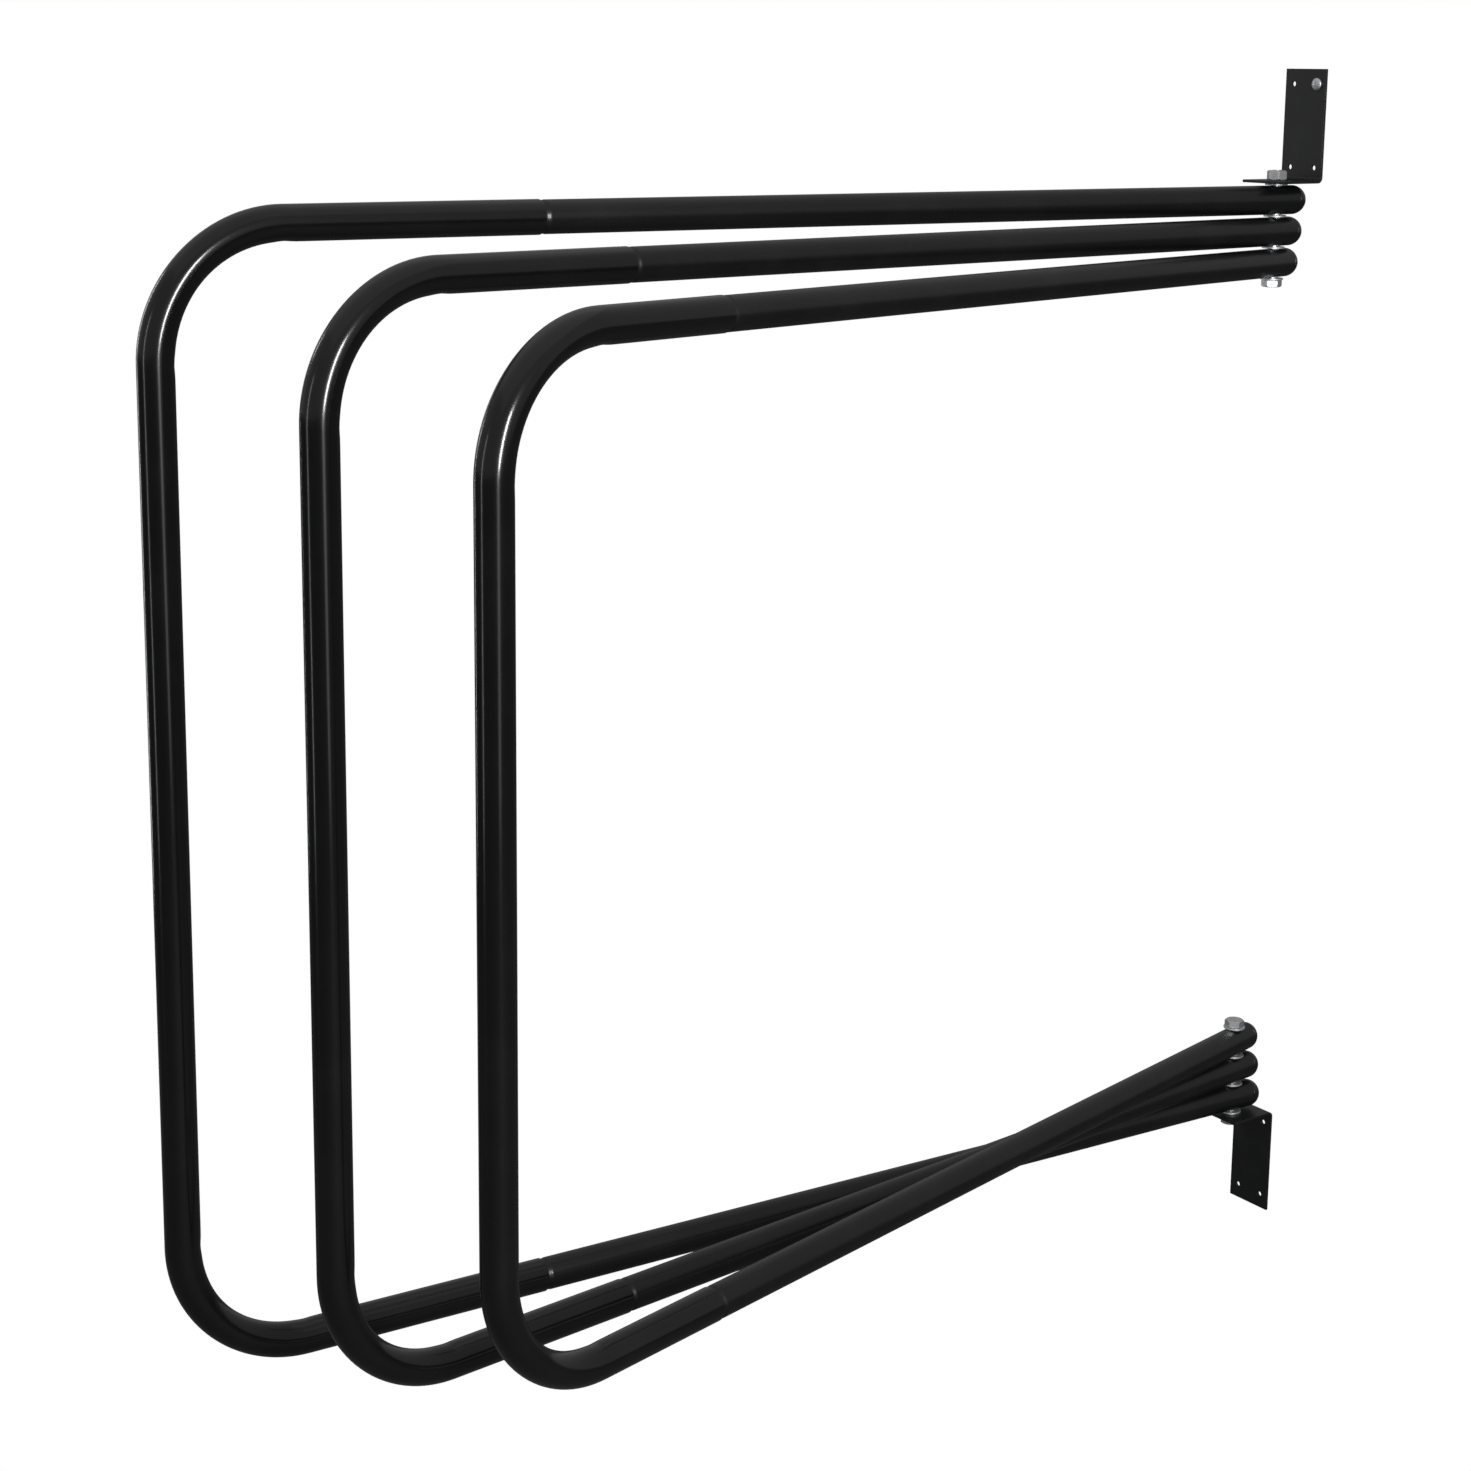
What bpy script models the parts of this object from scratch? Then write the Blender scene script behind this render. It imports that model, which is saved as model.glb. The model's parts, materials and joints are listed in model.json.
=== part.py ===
"""Swing-arm wall rack: three nested C-shaped tube arms that swing on two wall brackets.

Units are metres and +Z is up. The wall is the plane Y = 0 and the rack stands out towards -Y.
The origin is the centre of the upper bracket's back face. Each arm lies in a vertical plane
through one upright pivot axis, and the arms nest inside one another.
"""
import math

import bmesh
import bpy
from mathutils import Matrix, Vector

# ---- Driving dimensions ---------------------------------------------------------------------
GAP = 0.0003                      # air left between two pieces that touch
TUBE_WALL = 0.0015                # wall of every tube
BENT_TUBE_OD = 0.032              # bent tube, whose mouths take the straight tubes
SLIMMER = 0.001                   # straight tubes' diameter is this much less
REACH_OUTER = 1.250               # pivot axis to the upright's axis, outer arm
REACH_STEP = 0.050                # each inner arm is this much shorter
ARM_HEIGHT = 1.015                # outer arm, upper tube's axis to lower tube's axis
BEND_RADIUS = 0.115               # centre line of both bends
BEND_FLATTENING = 0.05            # share of the section lost across the middle of a bend
STUB_OUTER = 0.245                # straight run from bend to mouth, outer arm
SPIGOT_LENGTH = 0.055             # reduced end of a straight tube, inside the bent tube
SHOULDER_LENGTH = 0.006           # taper between full diameter and spigot
TUBE_OVERHANG = 0.022             # straight tube past the pivot axis, towards the wall
PLUG_SPIGOT = 0.008               # plug's stem inside the tube
PLUG_STEM_WALL = 0.002            # wall of that hollow stem
BOLT_D = 0.012                    # pivot bolts
HEX_AF = 0.019                    # bolt head and nut, across flats
BOLT_HEAD_HEIGHT = 0.0075
NUT_HEIGHT = 0.010
BOLT_PAST_NUT = 0.0005
HEX_TURNS = {"upper_pivot_nut": 25.0, "upper_pivot_bolt": -12.0,
             "lower_pivot_nut": 10.0, "lower_pivot_bolt": 43.0}    # degrees, a corner from +X
WASHER_OD = 0.024
WASHER_SLACK = 0.001              # washer's bore over the bolt's diameter
WASHER_THICK = 0.0019
STEEL_THICK = 0.003               # bracket plate
BRACKET_WIDTH = 0.057
PLATE_HEIGHT = 0.120              # leg's inner face to the plate's free end
LEG_PAST_BOLT = 0.022             # pivot axis to the leg's free end
BEND_INSIDE_RADIUS = 0.003        # bracket's own bend
WALL_CLEARANCE = 0.002            # rounded tube ends to the wall
SCREW_SLACK = 0.001               # plate hole's diameter over the screw's
HOLE_FROM_SIDE = 0.0115           # hole centres to the plate's sides
HOLE_FROM_END = 0.016             # upper pair to the plate's free end
HOLE_FROM_LEG = 0.016             # lower pair to the leg's inner face
SCREW_HEAD_D = 0.013
SCREW_HEAD_HEIGHT = 0.004
SCREW_SHANK_D = 0.0045
SCREW_LENGTH = 0.014              # under the head
SCREW_POINT = 0.004
SCREW_SKIRT = 0.35                # share of the head's height that is straight-sided
RECESS_SPAN = 0.0062              # cross recess, tip to tip
RECESS_SLOT = 0.0013
RECESS_DEPTH = 0.0022
REST_SWING = (3.0, -6.0, -13.5)   # degrees from straight out, positive towards -X
ARM_NAMES = ("outer", "middle", "inner")

# ---- Mesh fineness --------------------------------------------------------------------------
TUBE_SIDES = 20
BEND_STEPS = 8
DOME_STEPS = 4
CORNER_STEPS = 4
PLATE_HOLE_SIDES = 16
SMOOTH_BELOW = math.radians(35)

# ---- Sizes that follow ----------------------------------------------------------------------
ARM_TUBE_OD = BENT_TUBE_OD - SLIMMER
WASHER_BORE = BOLT_D + WASHER_SLACK
WASHER_SPACE = WASHER_THICK + 2 * GAP
STACK_PITCH = ARM_TUBE_OD + WASHER_SPACE
SEAM = REACH_OUTER - BEND_RADIUS - STUB_OUTER
SPIGOT_R = BENT_TUBE_OD / 2 - TUBE_WALL - GAP
DOME_R = ARM_TUBE_OD / 2
PIVOT_Y = -(TUBE_OVERHANG + GAP + DOME_R + WALL_CLEARANCE)
PIVOT_HOLE_R = BOLT_D / 2 + GAP
PLATE_HOLE_D = SCREW_SHANK_D + SCREW_SLACK
UPPER_LEG_Z = -PLATE_HEIGHT / 2
UPPER_TUBE_Z = UPPER_LEG_Z - WASHER_SPACE - ARM_TUBE_OD / 2
MIDDLE_Z = UPPER_TUBE_Z - ARM_HEIGHT / 2
LOWER_LEG_Z = 2 * MIDDLE_Z - UPPER_LEG_Z
STACK_HEIGHT = 3 * STACK_PITCH + WASHER_SPACE      # leg's inner face to the far washer's far face

ALONG_X = Matrix.Rotation(math.pi / 2, 4, "Y")     # turns a +Z axis to +X


# ---- Materials ------------------------------------------------------------------------------
def principled(name, colour, roughness, metallic):
    material = bpy.data.materials.new(name)
    material.use_nodes = True
    shader = material.node_tree.nodes["Principled BSDF"]
    shader.inputs["Base Color"].default_value = (*colour, 1.0)
    shader.inputs["Roughness"].default_value = roughness
    shader.inputs["Metallic"].default_value = metallic
    material.diffuse_color = (*colour, 1.0)
    return material


def make_materials():
    return {
        "coat": principled("black_powder_coat", (0.012, 0.013, 0.015), 0.28, 0.0),
        "plastic": principled("black_plastic", (0.012, 0.012, 0.013), 0.33, 0.0),
        "zinc": principled("zinc_plate", (0.62, 0.63, 0.64), 0.30, 1.0),
    }


# ---- Shared modelling steps -----------------------------------------------------------------
def finish_mesh(bm, name):
    """Closes a bmesh into a mesh with outward faces and smooth round sides."""
    bmesh.ops.recalc_face_normals(bm, faces=bm.faces)
    mesh = bpy.data.meshes.new(name)
    bm.to_mesh(mesh)
    bm.free()
    mesh.shade_smooth()
    mesh.set_sharp_from_angle(angle=SMOOTH_BELOW)
    return mesh


def place(name, mesh, material, parent=None, location=(0, 0, 0), rotation=(0, 0, 0)):
    if material is not None and not mesh.materials:
        mesh.materials.append(material)
    piece = bpy.data.objects.new(name, mesh)
    bpy.context.scene.collection.objects.link(piece)
    piece.parent = parent
    piece.location = location
    piece.rotation_euler = rotation
    return piece


def guide(piece):
    """Marks an object as a cutter or a former: it shapes others and isn't a piece itself."""
    piece.hide_render = True
    piece.display_type = "WIRE"
    return piece


def boolean(piece, other, operation="DIFFERENCE"):
    modifier = piece.modifiers.new(other.name, "BOOLEAN")
    modifier.object = other
    modifier.operation = operation
    modifier.solver = "EXACT"


def turned(profile, sides=TUBE_SIDES, matrix=Matrix()):
    """Spins (radius, height) points about Z. A profile that starts and ends at radius 0 is solid;
    any other is closed back to its first point."""
    bm = bmesh.new()
    verts = [bm.verts.new((radius, 0, height)) for radius, height in profile]
    for first, second in zip(verts, verts[1:]):
        bm.edges.new((first, second))
    if profile[0][0] > 0:
        bm.edges.new((verts[-1], verts[0]))
    bmesh.ops.spin(bm, geom=bm.verts[:] + bm.edges[:], cent=(0, 0, 0), axis=(0, 0, 1),
                   angle=2 * math.pi, steps=sides, use_merge=True)
    bmesh.ops.remove_doubles(bm, verts=bm.verts, dist=1e-6)
    bm.transform(matrix)
    return bm


def cylinder(radius, low, high, sides=TUBE_SIDES, matrix=Matrix()):
    return turned(((0, low), (radius, low), (radius, high), (0, high)), sides, matrix)


def prism(outline, low, high, matrix=Matrix()):
    """Extrudes an outline of (x, y) points from height low to high."""
    bm = bmesh.new()
    face = bm.faces.new([bm.verts.new((x, y, low)) for x, y in outline])
    extruded = bmesh.ops.extrude_face_region(bm, geom=[face])["geom"]
    top = [item for item in extruded if isinstance(item, bmesh.types.BMVert)]
    bmesh.ops.translate(bm, verts=top, vec=(0, 0, high - low))
    bm.transform(matrix)
    return bm


def hexagon(turn):
    corner = HEX_AF / math.sqrt(3)
    return [(corner * math.cos(math.radians(turn + 60 * side)),
             corner * math.sin(math.radians(turn + 60 * side))) for side in range(6)]


# ---- Tubes ----------------------------------------------------------------------------------
def straight_tube_mesh():
    """Tube along +X from past the pivot to the spigot that enters the bent tube."""
    outer = ARM_TUBE_OD / 2
    taper_start = SEAM - SHOULDER_LENGTH
    taper_end = SEAM - GAP
    end = SEAM + SPIGOT_LENGTH
    profile = (
        (outer, -TUBE_OVERHANG), (outer, taper_start), (SPIGOT_R, taper_end), (SPIGOT_R, end),
        (SPIGOT_R - TUBE_WALL, end), (SPIGOT_R - TUBE_WALL, taper_end),
        (outer - TUBE_WALL, taper_start), (outer - TUBE_WALL, -TUBE_OVERHANG),
    )
    return finish_mesh(turned(profile, matrix=ALONG_X), "straight_tube")


def end_plug_mesh():
    """Domed plug with a short hollow stem that sits in the tube's wall end."""
    stem = ARM_TUBE_OD / 2 - TUBE_WALL - GAP
    face = -TUBE_OVERHANG - GAP
    dome = [(DOME_R * math.sin(step * math.pi / 2 / DOME_STEPS),
             face - DOME_R * math.cos(step * math.pi / 2 / DOME_STEPS)) for step in range(DOME_STEPS + 1)]
    stem_end = -TUBE_OVERHANG + PLUG_SPIGOT
    profile = dome + [(stem, face), (stem, stem_end), (stem - PLUG_STEM_WALL, stem_end),
                      (stem - PLUG_STEM_WALL, face), (0, face)]
    return finish_mesh(turned(profile, matrix=ALONG_X), "end_plug")


def flatten_bends(bm, bend_x, bend_z):
    """Squeezes the section across each bend and lets it spread sideways, as a bent tube does."""
    for vert in bm.verts:
        across = vert.co.x - bend_x
        up = abs(vert.co.z) - bend_z
        if across <= 0 or up <= 0:
            continue
        turn = math.atan2(up, across)
        squeeze = BEND_FLATTENING * math.sin(2 * turn) ** 2
        radius = BEND_RADIUS + (math.hypot(across, up) - BEND_RADIUS) * (1 - squeeze)
        vert.co.x = bend_x + radius * math.cos(turn)
        vert.co.z = math.copysign(bend_z + radius * math.sin(turn), vert.co.z)
        vert.co.y *= 1 + squeeze / 2


def extrude_along(bm, section, vector):
    """Extrudes a section's faces, edges and vertices, and returns the new section's."""
    section = bmesh.ops.extrude_face_region(bm, geom=section)["geom"]
    verts = [item for item in section if isinstance(item, bmesh.types.BMVert)]
    bmesh.ops.translate(bm, verts=verts, vec=vector)
    return section


def spin_bend(bm, section, centre):
    return bmesh.ops.spin(bm, geom=section, cent=centre, axis=(0, 1, 0), angle=math.pi / 2,
                          steps=BEND_STEPS)["geom_last"]


def bent_tube_mesh(reach, height, name):
    """C-shaped tube: upper mouth, bend, upright, bend, lower mouth, centred on the arm's middle."""
    bend_x = reach - BEND_RADIUS
    bend_z = height / 2 - BEND_RADIUS
    bm = bmesh.new()
    start = Matrix.Translation((SEAM, 0, height / 2)) @ ALONG_X
    for radius in (BENT_TUBE_OD / 2, BENT_TUBE_OD / 2 - TUBE_WALL):
        bmesh.ops.create_circle(bm, segments=TUBE_SIDES, radius=radius, matrix=start)
    bmesh.ops.bridge_loops(bm, edges=bm.edges[:])
    section = bm.verts[:] + bm.edges[:] + bm.faces[:]
    section = extrude_along(bm, section, (bend_x - SEAM, 0, 0))
    section = spin_bend(bm, section, (bend_x, 0, bend_z))
    section = extrude_along(bm, section, (0, 0, -2 * bend_z))
    section = spin_bend(bm, section, (bend_x, 0, -bend_z))
    extrude_along(bm, section, (SEAM - bend_x, 0, 0))
    flatten_bends(bm, bend_x, bend_z)
    return finish_mesh(bm, name)


# ---- Brackets -------------------------------------------------------------------------------
def bracket_outline():
    """L section in (Y, Z) from the pivot axis: leg along -Y at Z = 0, plate up the wall."""
    wall = -PIVOT_Y
    inside, outside = BEND_INSIDE_RADIUS, BEND_INSIDE_RADIUS + STEEL_THICK
    centre = Vector((wall - outside, outside))

    def arc(radius, angles):
        return [(centre.x + radius * math.cos(math.radians(a)), centre.y + radius * math.sin(math.radians(a)))
                for a in angles]

    turns = [-90 + 90 * step / CORNER_STEPS for step in range(CORNER_STEPS + 1)]
    free_edge = -LEG_PAST_BOLT
    return ([(free_edge, 0)] + arc(outside, turns)
            + [(wall, PLATE_HEIGHT), (wall - STEEL_THICK, PLATE_HEIGHT)]
            + arc(inside, reversed(turns)) + [(free_edge, STEEL_THICK)])


def bracket_mesh():
    """The L section extruded across the bracket's width, centred on X."""
    to_yz = Matrix(((0, 0, 1, 0), (1, 0, 0, 0), (0, 1, 0, 0), (0, 0, 0, 1)))
    half = BRACKET_WIDTH / 2
    return finish_mesh(prism(bracket_outline(), -half, half, to_yz), "wall_bracket")


def plate_hole_places():
    """(x, z) of the four corner holes, in the bracket's own frame."""
    across = BRACKET_WIDTH / 2 - HOLE_FROM_SIDE
    return [(side * across, z) for z in (HOLE_FROM_LEG, PLATE_HEIGHT - HOLE_FROM_END) for side in (-1, 1)]


def make_brackets(material, pivot_cutter):
    mesh = bracket_mesh()
    turns = {"upper": (UPPER_LEG_Z, 0.0), "lower": (LOWER_LEG_Z, math.pi)}
    through_plate = Matrix.Rotation(-math.pi / 2, 4, "X")
    for side, (leg_z, turn) in turns.items():
        bracket = place(f"{side}_wall_bracket", mesh.copy(), material, None,
                        (0, PIVOT_Y, leg_z), (0, turn, 0))
        boolean(bracket, pivot_cutter)
        for number, (x, z) in enumerate(plate_hole_places(), 1):
            bm = cylinder(PLATE_HOLE_D / 2, -PIVOT_Y - 2 * STEEL_THICK, -PIVOT_Y + STEEL_THICK,
                          PLATE_HOLE_SIDES, through_plate)
            cutter = guide(place(f"{side}_plate_hole_{number}", finish_mesh(bm, "plate_hole"), None,
                                 bracket, (x, 0, z)))
            boolean(bracket, cutter)


# ---- Fasteners ------------------------------------------------------------------------------
def make_bolt(name, material, under_head_z, direction):
    """Hex bolt through a stack, its head on the side that direction points to."""
    length = STACK_HEIGHT + STEEL_THICK + GAP + NUT_HEIGHT + BOLT_PAST_NUT
    flip = Matrix.Scale(direction, 4, (0, 0, 1))
    head = prism(hexagon(HEX_TURNS[name]), 0, BOLT_HEAD_HEIGHT, flip)
    bolt = place(name, finish_mesh(head, name), material, None, (0, PIVOT_Y, under_head_z))
    shank = cylinder(BOLT_D / 2, -length, BOLT_HEAD_HEIGHT / 2, matrix=flip)
    boolean(bolt, guide(place(f"{name}_shank", finish_mesh(shank, f"{name}_shank"), None, bolt)),
            "UNION")


def make_stack(side, materials, pivot_cutter, leg_z, direction):
    """Bolt, nut and washers at one bracket. direction is +1 where the arms lie above the leg's
    inner face and -1 where they lie below it; the nut sits on the leg, the head past the arms."""
    washer = finish_mesh(turned((
        (WASHER_BORE / 2, -WASHER_THICK / 2), (WASHER_OD / 2, -WASHER_THICK / 2),
        (WASHER_OD / 2, WASHER_THICK / 2), (WASHER_BORE / 2, WASHER_THICK / 2))), f"{side}_washer")
    # Washer 1 lies between the leg and the outer arm, and 4 under the bolt's head.
    for number in range(1, 5):
        z = leg_z + direction * ((number - 1) * STACK_PITCH + WASHER_SPACE / 2)
        place(f"{side}_washer_{number}", washer, materials["zinc"], None, (0, PIVOT_Y, z))
    make_bolt(f"{side}_pivot_bolt", materials["zinc"], leg_z + direction * STACK_HEIGHT, direction)
    nut_name = f"{side}_pivot_nut"
    nut_start = STEEL_THICK + GAP
    nut_mesh = finish_mesh(prism(hexagon(HEX_TURNS[nut_name]), nut_start, nut_start + NUT_HEIGHT,
                                 Matrix.Scale(-direction, 4, (0, 0, 1))), nut_name)
    boolean(place(nut_name, nut_mesh, materials["zinc"], None, (0, PIVOT_Y, leg_z)), pivot_cutter)


def recess_outline():
    """Plus-shaped outline of the cross recess, one arm at a time."""
    half, tip = RECESS_SLOT / 2, RECESS_SPAN / 2
    points = []
    for quarter in range(4):
        turn = Matrix.Rotation(quarter * math.pi / 2, 2)
        points += [tuple(turn @ Vector(point)) for point in ((half, -half), (tip, -half), (tip, half))]
    return points


def make_wall_screw(material):
    """Pan-head screw in the upper bracket's top hole on the +X side, pointing into the wall."""
    x, z = plate_hole_places()[-1]
    head, shank = SCREW_HEAD_D / 2, SCREW_SHANK_D / 2
    skirt = SCREW_HEAD_HEIGHT * SCREW_SKIRT
    turns = [step * math.pi / 2 / CORNER_STEPS for step in range(CORNER_STEPS + 1)]
    crown = [(head * math.cos(turn), skirt + (SCREW_HEAD_HEIGHT - skirt) * math.sin(turn))
             for turn in turns]
    crown[-1] = (0, SCREW_HEAD_HEIGHT)
    profile = [(0, -SCREW_LENGTH), (shank, SCREW_POINT - SCREW_LENGTH), (shank, 0), (head, 0)] + crown
    outwards = Matrix.Rotation(math.pi / 2, 4, "X")
    place_at = (x, -STEEL_THICK - GAP, UPPER_LEG_Z + z)
    screw = place("wall_screw", finish_mesh(turned(profile, matrix=outwards), "wall_screw"), material, None,
                  place_at)
    recess = prism(recess_outline(), SCREW_HEAD_HEIGHT - RECESS_DEPTH, 2 * SCREW_HEAD_HEIGHT, outwards)
    boolean(screw, guide(place("wall_screw_recess", finish_mesh(recess, "wall_screw_recess"), None, screw)))


# ---- Arms -----------------------------------------------------------------------------------
def make_arm(index, materials, pivot_cutter, tube_mesh, plug_mesh):
    """One arm under an empty on the pivot axis; its own +X points out along the arm."""
    name = ARM_NAMES[index]
    reach = REACH_OUTER - index * REACH_STEP
    height = ARM_HEIGHT - 2 * index * STACK_PITCH
    pivot = bpy.data.objects.new(f"{name}_arm_pivot", None)
    bpy.context.scene.collection.objects.link(pivot)
    pivot.location = (0, PIVOT_Y, MIDDLE_Z)
    pivot.rotation_euler = (0, 0, math.radians(-90 - REST_SWING[index]))
    place(f"{name}_arm_bent_tube", bent_tube_mesh(reach, height, f"{name}_arm_bent_tube"),
          materials["coat"], pivot)
    for side, z in (("upper", height / 2), ("lower", -height / 2)):
        tube = place(f"{name}_arm_{side}_tube", tube_mesh, materials["coat"], pivot, (0, 0, z))
        boolean(tube, pivot_cutter)
        place(f"{name}_arm_{side}_end_plug", plug_mesh, materials["plastic"], pivot, (0, 0, z))


def main():
    for item in list(bpy.data.objects):
        bpy.data.objects.remove(item, do_unlink=True)
    materials = make_materials()
    reach_past_stacks = STACK_HEIGHT + PLATE_HEIGHT
    cutter_mesh = finish_mesh(cylinder(PIVOT_HOLE_R, LOWER_LEG_Z - reach_past_stacks,
                                       UPPER_LEG_Z + reach_past_stacks), "pivot_hole")
    pivot_cutter = guide(place("pivot_hole", cutter_mesh, None, None, (0, PIVOT_Y, 0)))
    make_brackets(materials["coat"], pivot_cutter)
    make_stack("upper", materials, pivot_cutter, UPPER_LEG_Z, -1)
    make_stack("lower", materials, pivot_cutter, LOWER_LEG_Z, 1)
    make_wall_screw(materials["zinc"])
    tube_mesh, plug_mesh = straight_tube_mesh(), end_plug_mesh()
    for index in range(len(ARM_NAMES)):
        make_arm(index, materials, pivot_cutter, tube_mesh, plug_mesh)


main()
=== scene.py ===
"""Finished look of a swing-arm wall rack: three nested tube arms on two wall brackets.

Every piece is modelled in metres in the part's own frame: the wall is the plane Y = 0, the arms
stand out towards -Y and +Z is up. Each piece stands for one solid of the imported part.
"""
import json
import math

import bmesh
import bpy
from bpy.props import FloatProperty, FloatVectorProperty, IntProperty, PointerProperty
from mathutils import Matrix, Vector

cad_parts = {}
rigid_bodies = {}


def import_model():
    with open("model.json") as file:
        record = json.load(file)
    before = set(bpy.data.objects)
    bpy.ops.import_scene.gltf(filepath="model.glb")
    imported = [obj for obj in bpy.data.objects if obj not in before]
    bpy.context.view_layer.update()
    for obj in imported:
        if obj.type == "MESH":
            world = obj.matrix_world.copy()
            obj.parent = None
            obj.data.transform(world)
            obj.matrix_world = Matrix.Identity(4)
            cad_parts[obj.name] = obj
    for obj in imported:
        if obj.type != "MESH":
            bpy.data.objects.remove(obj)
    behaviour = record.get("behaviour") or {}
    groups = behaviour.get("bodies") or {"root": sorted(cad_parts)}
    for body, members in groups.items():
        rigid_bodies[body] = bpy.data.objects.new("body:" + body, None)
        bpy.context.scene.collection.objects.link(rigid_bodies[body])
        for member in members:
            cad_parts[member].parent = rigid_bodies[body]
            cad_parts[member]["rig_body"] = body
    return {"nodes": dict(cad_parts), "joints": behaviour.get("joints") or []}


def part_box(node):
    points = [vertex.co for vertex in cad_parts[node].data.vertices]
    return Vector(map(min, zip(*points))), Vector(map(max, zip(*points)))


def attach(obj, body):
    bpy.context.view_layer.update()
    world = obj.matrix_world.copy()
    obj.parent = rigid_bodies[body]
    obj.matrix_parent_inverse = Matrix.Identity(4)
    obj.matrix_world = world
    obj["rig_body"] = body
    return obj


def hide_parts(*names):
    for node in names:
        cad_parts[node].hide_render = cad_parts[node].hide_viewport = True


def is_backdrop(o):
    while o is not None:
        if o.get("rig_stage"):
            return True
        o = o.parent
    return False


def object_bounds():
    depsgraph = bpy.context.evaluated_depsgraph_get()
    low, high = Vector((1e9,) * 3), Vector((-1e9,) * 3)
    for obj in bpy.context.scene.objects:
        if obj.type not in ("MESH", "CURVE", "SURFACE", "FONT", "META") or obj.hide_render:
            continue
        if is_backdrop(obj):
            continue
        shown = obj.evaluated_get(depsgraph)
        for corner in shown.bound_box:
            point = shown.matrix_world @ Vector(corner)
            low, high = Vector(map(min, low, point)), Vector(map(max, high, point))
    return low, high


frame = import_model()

cad_low, cad_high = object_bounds()

bl_info = {
    "name": "Swing-arm wall rack",
    "version": (1, 0, 0),
    "blender": (4, 5, 0),
    "location": "3D View > Sidebar > Rack",
    "description": "Builds the finished pieces, hardware and studio of a swing-arm wall rack",
    "category": "Add Mesh",
}

ARMS = ("outer", "middle", "inner")
SIDES = ("upper", "lower")
WASHERS = range(1, 5)
MM = 0.001


# ---- Settings -------------------------------------------------------------------------------
def length(name, description, default):
    return FloatProperty(name=name, description=description, default=default, min=0.0,
                         precision=5, subtype="DISTANCE", unit="LENGTH")


def angle(name, description, degrees):
    return FloatProperty(name=name, description=description, default=math.radians(degrees),
                         subtype="ANGLE", unit="ROTATION")


def share(name, description, default):
    return FloatProperty(name=name, description=description, default=default, min=0.0, max=1.0,
                         subtype="FACTOR")


def colour(name, description, default):
    return FloatVectorProperty(name=name, description=description, default=default, size=3,
                               min=0.0, max=1.0, subtype="COLOR")


def power(name, description, default):
    return FloatProperty(name=name, description=description, default=default, min=0.0,
                         unit="POWER")


def count(name, description, default):
    return IntProperty(name=name, description=description, default=default, min=3, max=256)


class RackTubeSettings(bpy.types.PropertyGroup):
    """Sizes of the arms' tubes and plugs that the part's boxes don't give."""
    bend_radius: length("Bend radius", "Centre line of both bends of an arm", 0.115)
    bend_flattening: share("Bend flattening", "Share of the section lost across a bend", 0.05)
    pinch_depth: length("Bend pinch", "Dent on the inside where a bend runs out", 0.0007)
    pinch_length: length("Pinch length", "How far the dent spreads along the tube", 0.007)
    wall: length("Tube wall", "Wall thickness of every tube", 0.0015)
    fit: length("Fit", "Air between two pieces that touch", 0.0003)
    mouth_round: length("Mouth rounding", "Rounding of the bent tube's cut ends", 0.0006)
    shoulder: length("Shoulder", "Length over which a straight tube is necked down", 0.006)
    hole_radius: length("Pivot hole", "Radius of the holes the pivot bolts pass through", 0.0063)
    plug_stem: length("Plug stem", "Length of a plug's stem inside its tube", 0.008)
    plug_stem_wall: length("Plug stem wall", "Wall of the plug's hollow stem", 0.002)
    plug_lip: length("Plug lip", "Rounding of the plug's rim where it meets the tube", 0.0007)
    sides: count("Sides", "Faces round each tube", 64)
    bend_steps: count("Bend steps", "Rings along each bend", 32)


class RackHardwareSettings(bpy.types.PropertyGroup):
    """Sizes of the brackets and fasteners that the part's boxes don't give."""
    steel: length("Bracket steel", "Thickness of the bracket plate", 0.003)
    bend_inside: length("Bracket bend", "Inside radius of the bracket's bend", 0.003)
    edge: length("Coated edge", "Rounding of the bracket's coated edges", 0.00045)
    hole: length("Plate hole", "Diameter of the holes for wall screws", 0.0055)
    hole_from_side: length("Hole to side", "Hole centre to the plate's side", 0.0115)
    hole_from_end: length("Hole to end", "Upper holes to the plate's free end", 0.016)
    hole_from_leg: length("Hole to leg", "Lower holes to the leg's inner face", 0.016)
    bolt: length("Bolt", "Nominal diameter of the pivot bolts", 0.012)
    head_height: length("Head height", "Height of a bolt's head", 0.0075)
    washer_face: length("Washer face", "Raised round face under heads and nuts", 0.0004)
    thread_pitch: length("Thread pitch", "Pitch of the bolts' threads", 0.00175)
    thread_depth: length("Thread depth", "Depth of the bolts' threads", 0.00095)
    thread_length: length("Thread length", "Threaded length at a bolt's end", 0.030)
    washer_bore: length("Washer bore", "Bore of the flat washers", 0.013)
    screw_shank: length("Screw", "Shank diameter of the wall screw", 0.0045)
    screw_head: length("Screw head", "Height of the wall screw's pan head", 0.004)
    screw_point: length("Screw point", "Length of the wall screw's point", 0.004)
    screw_pitch: length("Screw pitch", "Pitch of the wall screw's thread", 0.0018)
    recess_span: length("Recess", "Cross recess from tip to tip", 0.0062)
    recess_slot: length("Recess slot", "Width of the recess's slots", 0.0013)
    recess_depth: length("Recess depth", "Depth of the cross recess", 0.0022)
    sides: count("Sides", "Faces round each fastener", 64)


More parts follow.
